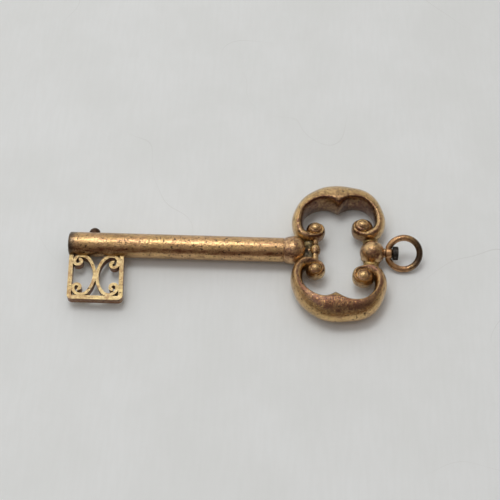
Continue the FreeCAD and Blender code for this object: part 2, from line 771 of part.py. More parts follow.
head_radius = read("pin_head_radius")
head_edge = read("pin_head_edge")
head_under = keep("head_under", head_start - pin_start)
head_top = head_under + read("pin_head_length")
swivel_pin = turned("swivel_pin", "X", [
    (as_size(0), as_size(0)),
    (head_top, as_size(0)),
    (head_top, head_radius - head_edge, head_edge, 1),
    (head_top - head_edge, head_radius),
    (head_under + head_edge, head_radius, head_edge, 1),
    (head_under, head_radius - head_edge),
    (head_under, pin_radius),
    (as_size(0), pin_radius),
])
place(swivel_pin, along=pin_start)

boss_radius = read("boss_radius")
boss_bore = pin_radius + read("running_gap")
boss_length = read("boss_length")
boss_edge = read("boss_edge")
ring_boss = turned("ring_boss", "X", [
    (as_size(0), boss_bore),
    (boss_length, boss_bore),
    (boss_length, boss_radius - boss_edge, boss_edge, 1),
    (boss_length - boss_edge, boss_radius),
    (boss_edge, boss_radius, boss_edge, 1),
    (as_size(0), boss_radius - boss_edge),
])
place(ring_boss, along=boss_start)

# The ring: round wire that stops against the two sides of the boss, tilted to rest on the table.

wire_circle = primitive("Torus", "wire_circle", Radius1=ring_radius, Radius2=ring_wire_radius)
place(wire_circle, along=ring_centre)
turn(wire_circle, ALONG, read("ring_tilt"))
boss_seat = shank_rod("boss_seat", boss_radius, boss_start - ring_wire_radius * 2, ring_radius)
ring_wire = cut("ring_wire", wire_circle, boss_seat)

PARTS = [
    shank_tube, tip_plug, stud, bit_bracket, bit_scroll_tip_side, bit_scroll_bow_side,
    shank_collar, centre_bead, bow_scroll_back, bow_scroll_front, *buttons,
    finial_ball, link_back, link_front, swivel_pin, ring_boss, ring_wire,
]


def write_parts():
    """Check every object and piece, then write one file for each piece."""
    doc.recompute()
    for thing in doc.Objects:
        if {"Invalid", "Error"} & set(thing.State):
            raise RuntimeError(f"{thing.Label} did not compute: {thing.State}")
    os.makedirs("parts", exist_ok=True)
    for piece in PARTS:
        if piece.Shape.isNull() or not piece.Shape.isValid() or len(piece.Shape.Solids) != 1:
            raise RuntimeError(f"{piece.Label} is not one sound solid")
        piece.Shape.exportStep(f"parts/{piece.Label}.step")
        box = piece.Shape.BoundBox
        print(f"{piece.Label:26s} {piece.Shape.Volume:8.2f} mm3   x {box.XMin:7.2f} {box.XMax:7.2f}"
              f"   y {box.YMin:7.2f} {box.YMax:7.2f}   z {box.ZMin:6.2f} {box.ZMax:6.2f}")


write_parts()
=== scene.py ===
# %% [markdown]
# # A worn brass key
# The key is a small key-shaped pendant: a drawn brass tube for the shank, a bow of two cast
# C-scrolls, a bit of bent flat strip and a small ring on a steel swivel pin. The CAD model
# holds every solid piece. This lesson gives each piece the finish that it has on the real key,
# adds the places where solder and old polish have filled a corner, and sets the key on a pale
# table in soft light. A ready-made scan could give such wear too, but procedural nodes keep
# their scale on any copy of the key.

# %% the fixed frame
import math
import random

import bpy
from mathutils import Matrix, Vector


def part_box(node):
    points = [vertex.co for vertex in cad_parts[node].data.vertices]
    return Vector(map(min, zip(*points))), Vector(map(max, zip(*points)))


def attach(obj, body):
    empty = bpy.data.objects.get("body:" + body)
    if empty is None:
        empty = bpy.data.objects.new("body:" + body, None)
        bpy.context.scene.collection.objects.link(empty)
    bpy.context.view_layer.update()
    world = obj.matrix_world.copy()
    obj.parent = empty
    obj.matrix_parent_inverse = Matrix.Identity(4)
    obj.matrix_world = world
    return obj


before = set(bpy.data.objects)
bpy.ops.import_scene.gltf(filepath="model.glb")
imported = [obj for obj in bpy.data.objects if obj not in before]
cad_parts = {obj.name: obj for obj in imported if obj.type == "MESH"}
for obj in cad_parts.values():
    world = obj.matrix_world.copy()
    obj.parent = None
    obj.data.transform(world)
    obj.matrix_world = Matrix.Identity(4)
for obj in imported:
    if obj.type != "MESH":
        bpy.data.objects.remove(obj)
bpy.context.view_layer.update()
MM = 0.001

# %% [markdown]
# Colours are written the way a picture program shows them, as hex, and one function turns
# them into the linear values that the renderer mixes. Another adds a node with its settings
# and links. The same trees could be drawn by hand in the node editor, but in code a material
# reads as a list of layers, and each number has one place.

# %% colours and nodes


def linear(hex_colour):
    """The renderer's colour for an sRGB hex colour."""
    channels = [int(hex_colour[place:place + 2], 16) / 255 for place in (1, 3, 5)]
    lit = [c / 12.92 if c <= 0.04045 else ((c + 0.055) / 1.055) ** 2.4 for c in channels]
    return (*lit, 1.0)


def connect(tree, node, inputs):
    """Give each named or numbered input of a node a value or another node's output."""
    for socket, value in inputs.items():
        if isinstance(value, bpy.types.NodeSocket):
            tree.links.new(value, node.inputs[socket])
        else:
            node.inputs[socket].default_value = value


def add(tree, kind, inputs=None, **settings):
    """Add a node of a kind, with its settings and its inputs."""
    node = tree.nodes.new(kind)
    for name, value in settings.items():
        setattr(node, name, value)
    connect(tree, node, inputs or {})
    return node


def new_material(name):
    """A material and its tree, which starts as a principled shader."""
    material = bpy.data.materials.new(name)
    material.use_nodes = True
    return material, material.node_tree


print("a mid grey is", round(linear("#808080")[0], 3), "in linear light")

# %% [markdown]
# Every finish here is built from marks and layers. Marks are soft noise, cut to a mask between
# two levels. Their size on the real metal is given as grains to a millimetre, so 0.5 stands for
# patches of about 2 mm. A layer is a colour laid over another one where a mask shows. Masks are
# added up by their shares, and a share below zero takes film away where it was rubbed off.
# Painted maps could do this as well, but they would have to be painted again for every piece.

# %% marks and layers
EVEN = (1.0, 1.0, 1.0)
# The mix node has a set of sockets for each kind of value; these are its colours.
UNDER_COLOUR = 6
OVER_COLOUR = 7
MIXED_COLOUR = 2


def grains(tree, place, per_mm, detail=4.0, rough=0.55, stretch=EVEN):
    """Soft noise with so many grains to a millimetre; a stretch under 1 draws them out."""
    scale = tuple(along * per_mm / MM for along in stretch)
    scaled = add(tree, "ShaderNodeMapping", {"Vector": place, "Scale": scale})
    return add(tree, "ShaderNodeTexNoise", {"Vector": scaled.outputs[0], "Scale": 1.0, "Detail": detail,
                                            "Roughness": rough}).outputs[0]


def marks(tree, place, low, high, **pattern):
    """Grains as a mask, from 0 where the noise is at low to 1 where it is at high."""
    return add(tree, "ShaderNodeMapRange", {"Value": grains(tree, place, **pattern), "From Min": low,
                                            "From Max": high},
               interpolation_type="SMOOTHSTEP").outputs[0]


def gathered(tree, shares, start=0.0):
    """Masks added up by their shares, held between 0 and 1."""
    total = start
    for mask, share in shares:
        if share:
            total = add(tree, "ShaderNodeMath", {0: mask, 1: share, 2: total}, operation="MULTIPLY_ADD",
                        use_clamp=True).outputs[0]
    return total


def layer(tree, under, over, mask, share=1.0):
    """One colour laid over another where the mask shows, by no more than the share."""
    shown = gathered(tree, [(mask, share)])
    return add(tree, "ShaderNodeMix", {"Factor": shown, UNDER_COLOUR: under, OVER_COLOUR: over},
               data_type="RGBA").outputs[MIXED_COLOUR]


def relief(tree, bumps):
    """Bumps over each other, each with a height, a strength and a depth in mm; below 0 it is sunk."""
    below = {}
    for bump in bumps:
        node = add(tree, "ShaderNodeBump", {"Strength": bump["strength"], "Height": bump["height"],
                                            "Distance": abs(bump["depth"]) * MM, **below},
                   invert=bump["depth"] < 0)
        below = {"Normal": node.outputs[0]}
    return node.outputs[0]


print("one grain to a millimetre is a noise scale of", round(1 / MM), "to a metre")

# %% [markdown]
# Old brass isn't one colour. Handling keeps the outer places clean, a red-brown film stays in the
# hollows, and dirt with a little green fills the corners. In the hollows the film's colour is
# partly painted shade; on the inner walls and on upright sides it is laid as painted shade, and in
# bands where a surface leans to the front as a painted dark reflection. Hollows and corners come
# from ambient occlusion at two reaches, which finds them on any shape without a painted map. The
# inner walls are where a surface faces the middle of the bow's opening. The places and reaches
# are in millimetres.

# %% masks for the wear
BOW_MIDDLE = (20.0, 0.0, 3.1)
HOLLOW_REACH = 5.0
CORNER_REACH = 0.9
SHELTER_SAMPLES = 6
FULL_LEAN_SHARE = 0.4
STAIN_AND_SHADE_RAGGEDNESS = 2.4


def sheltered(tree, reach, open_air, closed_air, own_shape):
    """Where the air within a reach in mm is closed off, from 0 at open_air to 1 at closed_air."""
    air = add(tree, "ShaderNodeAmbientOcclusion", {"Distance": reach * MM}, samples=SHELTER_SAMPLES,
              only_local=own_shape)
    return add(tree, "ShaderNodeMapRange", {"Value": air.outputs["AO"], "From Min": open_air,
                                            "From Max": closed_air},
               interpolation_type="SMOOTHSTEP").outputs[0]


def facing(tree, spots, direction, start, full):
    """Where a surface faces a direction, from 0 at the start cosine to 1 at the full one."""
    cosine = add(tree, "ShaderNodeVectorMath", {0: spots["Normal"], 1: direction}, operation="DOT_PRODUCT")
    return add(tree, "ShaderNodeMapRange", {"Value": cosine.outputs["Value"], "From Min": start,
                                            "From Max": full},
               interpolation_type="SMOOTHSTEP").outputs[0]


# On inner walls the film colour is laid as painted shade.
def inner_walls(tree, spots, middle):
    """Where a surface faces the middle of an opening, given in mm."""
    centre = tuple(along * MM for along in middle)
    toward = add(tree, "ShaderNodeVectorMath", {0: centre, 1: spots["Object"]}, operation="SUBTRACT")
    straight = add(tree, "ShaderNodeVectorMath", {0: toward.outputs[0]}, operation="NORMALIZE")
    return facing(tree, spots, straight.outputs[0], start=0.15, full=0.75)


# This band carries a painted dark reflection in the film colour.
def front_slope(tree, spots, lean_degrees, reach_degrees):
    """Where a surface leans to the key's front edge by about this angle."""
    lean = math.radians(lean_degrees)
    reach = math.radians(reach_degrees)
    return facing(tree, spots, (0.0, -math.sin(lean), math.cos(lean)), start=math.cos(reach),
                  full=math.cos(reach * FULL_LEAN_SHARE))


# On upright sides the film colour is laid as painted shade.
def upright_sides(tree, spots):
    """Where a surface stands upright, from 0 to 1."""
    upward = add(tree, "ShaderNodeSeparateXYZ", {0: spots["Normal"]}).outputs["Z"]
    steepness = add(tree, "ShaderNodeMath", {0: upward}, operation="ABSOLUTE").outputs[0]
    return add(tree, "ShaderNodeMapRange", {"Value": steepness, "From Min": 0.8, "From Max": 0.2},
               interpolation_type="SMOOTHSTEP").outputs[0]


def stain_and_shade_end(tree, spots, clean_at, dark_at):
    """A ragged darker end that grows along the key between two places in mm; painted shade on the ring."""
    along = add(tree, "ShaderNodeSeparateXYZ", {0: spots["Object"]}).outputs["X"]
    edge = grains(tree, spots["Object"], per_mm=0.9)
    ragged = add(tree, "ShaderNodeMath", {0: edge, 1: STAIN_AND_SHADE_RAGGEDNESS * MM, 2: along},
                 operation="MULTIPLY_ADD").outputs[0]
    middle = STAIN_AND_SHADE_RAGGEDNESS / 2
    return add(tree, "ShaderNodeMapRange", {"Value": ragged, "From Min": (clean_at + middle) * MM,
                                            "From Max": (dark_at + middle) * MM},
               interpolation_type="SMOOTHSTEP").outputs[0]


print("masks reach", HOLLOW_REACH, "mm for hollows and", CORNER_REACH, "mm for corners")

# %% [markdown]
# The red-brown film is the oxide that brass grows in air. It lies in patches of about 2 mm and
# in finer streaks, it is thicker in the hollows, where it is partly painted shade, and handling
# has rubbed spots of it away. The same mask also takes bands of painted shade and painted dark
# reflection. Pits are small holes in the metal, now full of dark dirt: fine ones close together
# and a few large ones. One noise could drive all of it, but each kind of mark has its own size on
# the real key, so each has a pattern of its own.

# %% film and pits
STREAK_SHARE = 0.7
HOLLOW_SHARE = 0.4
RUBBED_SHARE = -0.5
FINE_PIT_LEVEL = 0.74
LARGE_PIT_LEVEL = 0.72
FINE_PIT_EDGE = 0.06
LARGE_PIT_EDGE = 0.04
FINE_PIT_GAIN = 0.12
LARGE_PIT_GAIN = 0.06


def film_and_shade_mask(tree, place, film_share, grain, bands):
    """Where the red-brown film and painted shade lie; bands add painted shade and reflection."""
    patches = marks(tree, place, low=0.4, high=0.66, per_mm=0.45, detail=6.0, rough=0.68, stretch=grain)
    streaks = marks(tree, place, low=0.44, high=0.62, per_mm=1.8, detail=5.0, rough=0.7, stretch=grain)
    # In the hollows this film is partly painted shade.
    hollows = sheltered(tree, HOLLOW_REACH, open_air=0.97, closed_air=0.6, own_shape=True)
    rubbed = marks(tree, place, low=0.6, high=0.68, per_mm=2.4, detail=3.0, rough=0.6)
    return gathered(tree, [(patches, film_share), (streaks, film_share * STREAK_SHARE),
                           (hollows, HOLLOW_SHARE), *bands, (rubbed, RUBBED_SHARE)])


def pit_mask(tree, place, pits):
    """Fine and large specks, which grow in number with pits."""
    fine_from = FINE_PIT_LEVEL - FINE_PIT_GAIN * pits
    large_from = LARGE_PIT_LEVEL - LARGE_PIT_GAIN * pits
    fine = marks(tree, place, low=fine_from, high=fine_from + FINE_PIT_EDGE, per_mm=3.2, detail=2.0,
                 rough=0.6)
    large = marks(tree, place, low=large_from, high=large_from + LARGE_PIT_EDGE, per_mm=1.7, detail=1.0)
    return add(tree, "ShaderNodeMath", {0: fine, 1: large}, operation="MAXIMUM").outputs[0]


print("streaks carry", STREAK_SHARE, "of the film's share and hollows add", HOLLOW_SHARE)

# %% [markdown]
# Brass is copper with zinc, a yellow metal, so its colour is the colour of its reflections, and
# it keeps the default IOR. A slightly green film and the red-brown one lie on it, the red-brown
# colour also laid as painted shade and a painted dark reflection, then pits, then soil, which is
# hardly metal at all. A thin coat stands for the wax of old polish and gives a second, softer
# shine. A stock metal with one roughness would be smooth like new, so the relief has fine
# scratches, pits and the low waves of worn metal, which break the highlight up into small sparks.

# %% worn brass
GREENISH_FILM = "#bda465"
STAIN_AND_SHADE_COLOUR = "#483e34"
PIT = "#2e1c10"
BROWN_SOIL = "#4e3b26"
GREEN_SOIL = "#625c3c"
GREENISH_SHARE = 0.35
STAIN_AND_SHADE_SHARE = 0.9
PIT_SHARE = 0.85
SOIL_SHARE = 0.65
SOIL_METALLIC = 0.25
FILM_AND_SHADE_ROUGHENS = 0.06
SOIL_ROUGHENS = 0.35
COAT = {"Coat Weight": 0.35, "Coat Roughness": 0.22}


def worn_brass_with_painted_shade(name, clean, film, film_share, roughness, pits, lean=45.0, reach=39.0, slope=0.0, wall=0.0,
               inside=0.0, grain=EVEN, dents=0.09, stain_and_shade=None):
    """Brass with brown film, pits, fine scratches and dirty corners.

    Film share is how much film lies anywhere, and pits is how many specks, 1 for the usual.
    Slope is the share of the film colour laid as a painted dark reflection in a band that leans
    to the front by about lean degrees, no further off than reach. Wall and inside are its shares as
    painted shade on upright sides and on inner walls. Dents is the depth of the waves in mm, and the
    last argument is where a dark end starts and is full: stained at the tip, painted shade on the
    ring's far side.
    """
    material, tree = new_material(name)
    spots = add(tree, "ShaderNodeTexCoord").outputs
    place = spots["Object"]
    # The bands paint a dark reflection where a surface leans to the front, and shade on upright and inner
    # walls.
    film_and_shade = film_and_shade_mask(tree, place, film_share, grain, bands=[
        (front_slope(tree, spots, lean, reach), slope), (upright_sides(tree, spots), wall),
        (inner_walls(tree, spots, BOW_MIDDLE), inside)])
    greenish = marks(tree, place, low=0.42, high=0.62, per_mm=0.3, detail=3.0)
    colour = layer(tree, linear(clean), linear(GREENISH_FILM), greenish, GREENISH_SHARE)
    colour = layer(tree, colour, linear(film), film_and_shade)
    # A darker end: stained at the shank's tip, painted shade on the ring's far side.
    if stain_and_shade:
        colour = layer(tree, colour, linear(STAIN_AND_SHADE_COLOUR), stain_and_shade_end(tree, spots, *stain_and_shade), STAIN_AND_SHADE_SHARE)
    specks = pit_mask(tree, place, pits)
    colour = layer(tree, colour, linear(PIT), specks, PIT_SHARE)

    corners = sheltered(tree, CORNER_REACH, open_air=0.55, closed_air=0.12, own_shape=False)
    soiled = gathered(tree, [(corners, SOIL_SHARE)])
    green = marks(tree, place, low=0.4, high=0.6, per_mm=0.9, detail=3.0)
    soil = layer(tree, linear(BROWN_SOIL), linear(GREEN_SOIL), green)
    metallic = add(tree, "ShaderNodeMapRange", {"Value": soiled, "To Min": 1.0, "To Max": SOIL_METALLIC})

    # Real polishing scratches are a few hundredths of a millimetre wide. They are drawn at five
    # to a millimetre, because finer ones don't show in the picture.
    scratches = grains(tree, place, per_mm=5.0, detail=5.0, rough=0.7, stretch=grain)
    waves = grains(tree, place, per_mm=0.8, detail=5.0, rough=0.62)
    connect(tree, tree.nodes["Principled BSDF"], {
        "Base Color": layer(tree, colour, soil, soiled),
        "Metallic": metallic.outputs[0],
        "Roughness": gathered(tree, [(film_and_shade, FILM_AND_SHADE_ROUGHENS), (soiled, SOIL_ROUGHENS)], start=roughness),
        "Normal": relief(tree, [
            {"height": scratches, "strength": 0.8, "depth": 0.06},
            {"height": specks, "strength": 0.6, "depth": -0.05},
            {"height": waves, "strength": 0.75, "depth": dents},
        ]),
        **COAT,
    })
    return material


print("worn brass has a coat of", COAT["Coat Weight"], "and keeps", SOIL_METALLIC, "metal under soil")

# %% [markdown]
# Seven kinds of wear cover the brass pieces. The shank is drawn tube, so its scratches and film
# run along it, a narrow band low on its front is a painted dark reflection in the film's colour,
# and its tip is stained. Both scrolls are cast, with painted shade on their inner walls and a
# painted dark reflection where they lean to the front: the back one is the cleaner, and on the
# front one that reflection is a broad brown band along its upper face. The buttons stand up and
# are rubbed, while the collar and the finial have an even pinkish film, and all of them have a
# painted dark reflection where they lean to the front. The bit's strip was cut clean and has gone
# dull, with painted shade in brown on its upright sides. The ring is redder, and its far side is
# painted nearly black as shade. One brass for all would be simpler, but the way the pieces were
# made shows in their wear. Stains and painted shade lie between two places along the key.

# %% the kinds of brass
ALONG_KEY = (0.3, 1.0, 1.0)
TIP_STAIN = (-35.2, -37.6)
# The ring's darker far side is painted shade.
RING_PAINTED_SHADE = (34.0, 37.4)
# Slope bands are painted dark reflection; wall and inside shares are painted shade.
shank_brass = worn_brass_with_painted_shade("worn_drawn_brass", "#d8b07e", "#704228", film_share=0.36, roughness=0.24,
                         pits=1.1, lean=53.0, reach=16.0, slope=0.38, grain=ALONG_KEY, dents=0.08,
                         stain_and_shade=TIP_STAIN)
bow_brass = worn_brass_with_painted_shade("worn_cast_brass", "#deba84", "#664030", film_share=0.32, roughness=0.16,
                       pits=0.9, lean=25.0, slope=0.6, inside=0.6)
front_brass = worn_brass_with_painted_shade("cast_brass_with_film_and_painted_reflection", "#e0ba82", "#6a4632", film_share=0.3, roughness=0.16,
                         pits=1.0, lean=12.0, slope=0.8, inside=0.25)
button_brass = worn_brass_with_painted_shade("rubbed_cast_brass", "#e4be86", "#74503a", film_share=0.42, roughness=0.17,
                          pits=0.9, lean=35.0, slope=0.25)
collar_brass = worn_brass_with_painted_shade("worn_turned_brass", "#dcb586", "#7c543e", film_share=0.56, roughness=0.2,
                          pits=1.1, lean=35.0, slope=0.4)
bit_brass = worn_brass_with_painted_shade("dull_strip_brass", "#c4ae80", "#7c5238", film_share=0.42, roughness=0.32,
                       pits=0.6, wall=0.75, dents=0.2)
ring_brass = worn_brass_with_painted_shade("red_brass_wire", "#c89c70", "#5c3824", film_share=0.45, roughness=0.2,
                        pits=0.6, stain_and_shade=RING_PAINTED_SHADE)
brasses = (shank_brass, bow_brass, front_brass, button_brass, collar_brass, bit_brass, ring_brass)
print("brasses:", [brass.name for brass in brasses])

# %% [markdown]
# The stud and the swivel pin are steel that has darkened with age, the stud to brown. A thin
# dark oxide hides the bare metal's shine except on the rubbed edges. Black paint would be the
# quick way, but it would lose those small paler flecks and the metal's own soft shine, so this
# is a rough dark metal.

# %% dark steel
OXIDE_ROUGHNESS = 0.5
RUBBED_ROUGHNESS = 0.3


def dark_steel(name, oxide, rubbed_colour):
    """Steel with a dark oxide and small rubbed flecks."""
    material, tree = new_material(name)
    place = add(tree, "ShaderNodeTexCoord").outputs["Object"]
    rubbed = marks(tree, place, low=0.55, high=0.7, per_mm=2.6)
    scale = grains(tree, place, per_mm=3.0)
    roughness = add(tree, "ShaderNodeMapRange", {"Value": rubbed, "To Min": OXIDE_ROUGHNESS,
                                                 "To Max": RUBBED_ROUGHNESS})
    connect(tree, tree.nodes["Principled BSDF"], {
        "Base Color": layer(tree, linear(oxide), linear(rubbed_colour), rubbed),
        "Metallic": 1.0,
        "Roughness": roughness.outputs[0],
        "Normal": relief(tree, [{"height": scale, "strength": 0.5, "depth": 0.04}]),
    })
    return material


pin_steel = dark_steel("darkened_steel", "#3b3836", "#7a716c")
stud_steel = dark_steel("browned_steel", "#4d3b31", "#9c7f6a")
print("dark steels:", pin_steel.name, stud_steel.name)

# %% [markdown]
# Each CAD node takes the finish of its group, found by how the node's name starts. Slots could
# be filled by hand, but a table shows at a glance what is made of what. The mesh came from exact
# surfaces, so its own normals are kept.

# %% finishes on the CAD pieces
FINISHES = {
    "shank_tube": shank_brass,
    "tip_plug": shank_brass,
    "stud": stud_steel,
    "bit_bracket": bit_brass,
    "bit_scroll": bit_brass,
    "shank_collar": collar_brass,
    "centre_bead": bow_brass,
    "bow_scroll_back": bow_brass,
    "bow_scroll_front": front_brass,
    "volute_button": button_brass,
    "finial_ball": collar_brass,
    "link": bow_brass,
    "swivel_pin": pin_steel,
    "ring_boss": ring_brass,
    "ring_wire": ring_brass,
}
for node_name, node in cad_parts.items():
    finish = next(material for start, material in FINISHES.items() if node_name.startswith(start))
    for slot in node.material_slots:
        slot.material = finish
print("finishes on", len(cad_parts), "nodes")

# %% [markdown]
# A few small forms on the key are solder and polish, not pieces that someone cut or cast, so
# they are made here, round the CAD pieces. Bmesh or modifiers could make them, but a list of
# points and a list of faces is the plainest way to a mesh. The first form needs a closed sheet:
# two grids of points, one over the other, with a rim of faces between them.

# %% closed meshes


def smooth_piece(name, vertices, faces, material):
    """A mesh object with smooth faces and one material."""
    mesh = bpy.data.meshes.new(name)
    mesh.from_pydata(vertices, [], faces)
    mesh.polygons.foreach_set("use_smooth", [True] * len(faces))
    mesh.materials.append(material)
    piece = bpy.data.objects.new(name, mesh)
    bpy.context.scene.collection.objects.link(piece)
    return piece


def solid_sheet(name, across_count, along_count, place_of, material):
    """A closed sheet from a grid; place_of gives the top and the bottom point for two shares."""
    vertices = []
    for face in (0, 1):
        for i in range(along_count + 1):
            for j in range(across_count + 1):
                vertices.append(place_of(i / along_count, j / across_count)[face])
    row = across_count + 1
    sheet = row * (along_count + 1)
    faces = []
    for i in range(along_count):
        for j in range(across_count):
            a = i * row + j
            faces.append((a, a + row, a + row + 1, a + 1))
            faces.append((sheet + a, sheet + a + 1, sheet + a + row + 1, sheet + a + row))
    first_row = list(range(across_count))
    last_column = [i * row + across_count for i in range(along_count)]
    last_row = [along_count * row + j for j in range(across_count, 0, -1)]
    first_column = [i * row for i in range(along_count, 0, -1)]
    rim = first_row + last_column + last_row + first_column
    for place, following in zip(rim, rim[1:] + rim[:1]):
        faces.append((place, following, sheet + following, sheet + place))
    return smooth_piece(name, vertices, faces, material)


def middle_of(node_name):
    """The middle of a CAD node's box."""
    low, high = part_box(node_name)
    return (Vector(low) + Vector(high)) / 2


print("the finial ball's middle is at", [round(along / MM, 1) for along in middle_of("finial_ball")], "mm")

# %% [markdown]
# The corner between the collar, the bead and the two scrolls is where the bow was soldered on.
# Solder and old polish fill it with a low lumpy crust, with only the bead and its little knob
# standing out. A sculpted crust would look as good, but it couldn't follow a change of size. This
# one takes its place from the pieces round it: its rim dips under them, and its top is raised by
# a few lumps whose places come from a seeded list. The lengths are in millimetres.

# %% the solder crust
CRUST_LUMPS = 26
CRUST_SEED = 5
CRUST_GRID = {"across_count": 40, "along_count": 16}
CRUST_OVERLAP = 1.0
CRUST_RISE = 0.45
CRUST_DEPTH = 1.4
CRUST_WIDTH_SHARE = 0.75
CRUST_DIP = 0.9
CRUST_LEVEL_SHARE = 0.75
LUMP_REACH = 0.45
LUMP_HEIGHTS = (0.12, 0.3)


def solder_crust(name, material):
    """The crust between the collar and the bead."""
    eye_back = middle_of("volute_button_back_shank")
    eye_front = middle_of("volute_button_front_shank")
    width = eye_back.y - eye_front.y
    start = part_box("shank_collar")[1][0] - CRUST_OVERLAP * MM
    length = eye_back.x - start
    chance = random.Random(CRUST_SEED)
    lumps = [(start + chance.random() * length, eye_front.y + chance.random() * width,
              chance.uniform(*LUMP_HEIGHTS) * MM) for _ in range(CRUST_LUMPS)]

    def place_of(along, across):
        x = start + along * length
        y = (eye_front.y + across * width) * CRUST_WIDTH_SHARE
        rise = CRUST_RISE * MM
        for lump_x, lump_y, height in lumps:
            away = ((x - lump_x) ** 2 + (y - lump_y) ** 2) / (LUMP_REACH * MM) ** 2
            rise += height * math.exp(-away)
        past_level = max(0.0, along - CRUST_LEVEL_SHARE) / (1 - CRUST_LEVEL_SHARE)
        top = eye_back.z + rise - past_level * CRUST_DIP * MM
        return ((x, y, top), (x, y, eye_back.z - CRUST_DEPTH * MM))

    return solid_sheet(name, place_of=place_of, material=material, **CRUST_GRID)


crust_brass = worn_brass_with_painted_shade("crusted_solder", "#5e5038", "#2e271c", film_share=0.9, roughness=0.45, pits=1.2)
crust = solder_crust("solder_crust", crust_brass)
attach(crust, "key")
print("solder crust of", len(crust.data.vertices), "points")

# %% [markdown]
# Each volute's eye was cast with its button standing on a low shoulder, and years of polish have
# filled the narrow groove between them. A shallow turned disc round each button closes that
# groove, so that the button rises out of the volute like the middle of a snail shell. A screw
# modifier could turn the profile too, but rings of points give a closed mesh at once. The
# profile is a list of radii and heights, as shares of the button's own.

# %% the shoulders round the buttons
SHOULDER_PROFILE = ((0.5, 0.79), (0.86, 0.78), (0.98, 0.75), (1.1, 0.69), (1.2, 0.57), (1.26, 0.36))
TURNED_SIDES = 48


def turned_piece(name, vertices, material):
    """A closed piece from rings of points, with a flat face on its first and last ring."""
    last = len(vertices) - 1
    faces = [tuple(range(TURNED_SIDES)), tuple(last - side for side in range(TURNED_SIDES))]
    for ring_start in range(0, len(vertices) - TURNED_SIDES, TURNED_SIDES):
        for side in range(TURNED_SIDES):
            a = ring_start + side
            b = ring_start + (side + 1) % TURNED_SIDES
            faces.append((a, a + TURNED_SIDES, b + TURNED_SIDES, b))
    return smooth_piece(name, vertices, faces, material)


def shoulder(name, button_node, material):
    """A low turned disc round one button, the same on both faces."""
    low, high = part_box(button_node)
    centre = middle_of(button_node)
    radius = (high[0] - low[0]) / 2
    half_height = (high[2] - low[2]) / 2
    profile = list(SHOULDER_PROFILE) + [(r, -h) for r, h in reversed(SHOULDER_PROFILE)]
    vertices = []
    for r, h in profile:
        for side in range(TURNED_SIDES):
            turn = 2 * math.pi * side / TURNED_SIDES
            vertices.append((centre.x + radius * r * math.cos(turn),
                             centre.y + radius * r * math.sin(turn),
                             centre.z + half_height * h))
    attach(turned_piece(name, vertices, material), "key")


for edge_name, material in (("back", bow_brass), ("front", front_brass)):
    for eye_name in ("shank", "ring"):
        eye = f"{edge_name}_{eye_name}"
        shoulder(f"volute_shoulder_{eye}", f"volute_button_{eye}", material)
print("shoulders round four buttons")

# %% [markdown]
# The finial ball was soldered between the two scrolls, and the solder has run up into a wide
# waisted saddle on each side of it. Metaballs could melt the pieces together, but their size is
# hard to hold. Each saddle here is a row of ovals from inside the ball to inside the volute,
# narrowest in the middle, so that both ends melt into their neighbours. The lengths are in
# millimetres: half the waist along and up, what it flares by, and how far out it starts and ends.

# %% the solder saddles
SADDLE_WAIST = (1.65, 1.15)
SADDLE_FLARE = (0.8, 0.5)
SADDLE_REACH = (1.1, 4.6)
SADDLE_DROP = 0.72
SADDLE_LEAN = 0.5
SADDLE_RINGS = 20


def saddle(name, finial_node, edge, material):
    """Solder between the finial ball and one scroll; edge 1 is the back and -1 the front."""
    centre = middle_of(finial_node)
    start, end = SADDLE_REACH
    vertices = []
    for ring in range(SADDLE_RINGS + 1):
        along = ring / SADDLE_RINGS
        flare = (2 * along - 1) ** 2
        half_width, half_height = [waist + flare * more for waist, more in zip(SADDLE_WAIST, SADDLE_FLARE)]
        for side in range(TURNED_SIDES):
            # The turn follows the edge, so that the faces of both saddles look outward.
            turn = edge * 2 * math.pi * side / TURNED_SIDES
            vertices.append(centre + MM * Vector((half_width * math.cos(turn) - SADDLE_LEAN * along,
                                                  edge * (start + along * (end - start)),
                                                  half_height * math.sin(turn) - SADDLE_DROP)))
    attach(turned_piece(name, vertices, material), "key")


greened_solder = worn_brass_with_painted_shade("greened_solder", "#bc9c62", "#54462c", film_share=0.55, roughness=0.26,
                            pits=0.9)
saddle("solder_saddle_back", "finial_ball", 1, greened_solder)
saddle("solder_saddle_front", "finial_ball", -1, greened_solder)
print("solder saddles at both sides of the finial")

# %% [markdown]
# The table is a smooth painted board, off-white and a little cool, with a faint weave, a few
# hairline marks and soft clouds. A plain white plane would do for the shadow, but the brass
# mirrors the board, so the board is large and has its own marks. A hairline is where slow noise
# crosses its middle level, which gives long thin curves.

# %% the table
TABLE_SPAN = 4.0
BOARD_WHITE = "#e9edee"
BOARD_CLOUD = "#eef2f4"
BOARD_WEAVE = "#e4e8e9"
HAIRLINE = "#b4b3b0"
HAIRLINE_LEVEL = 0.5
HAIRLINE_WIDTH = 0.0009
HAIRLINE_SHARE = 0.2
WEAVE_SHARE = 0.2
ALONG_WEAVE = (1.0, 0.12, 1.0)


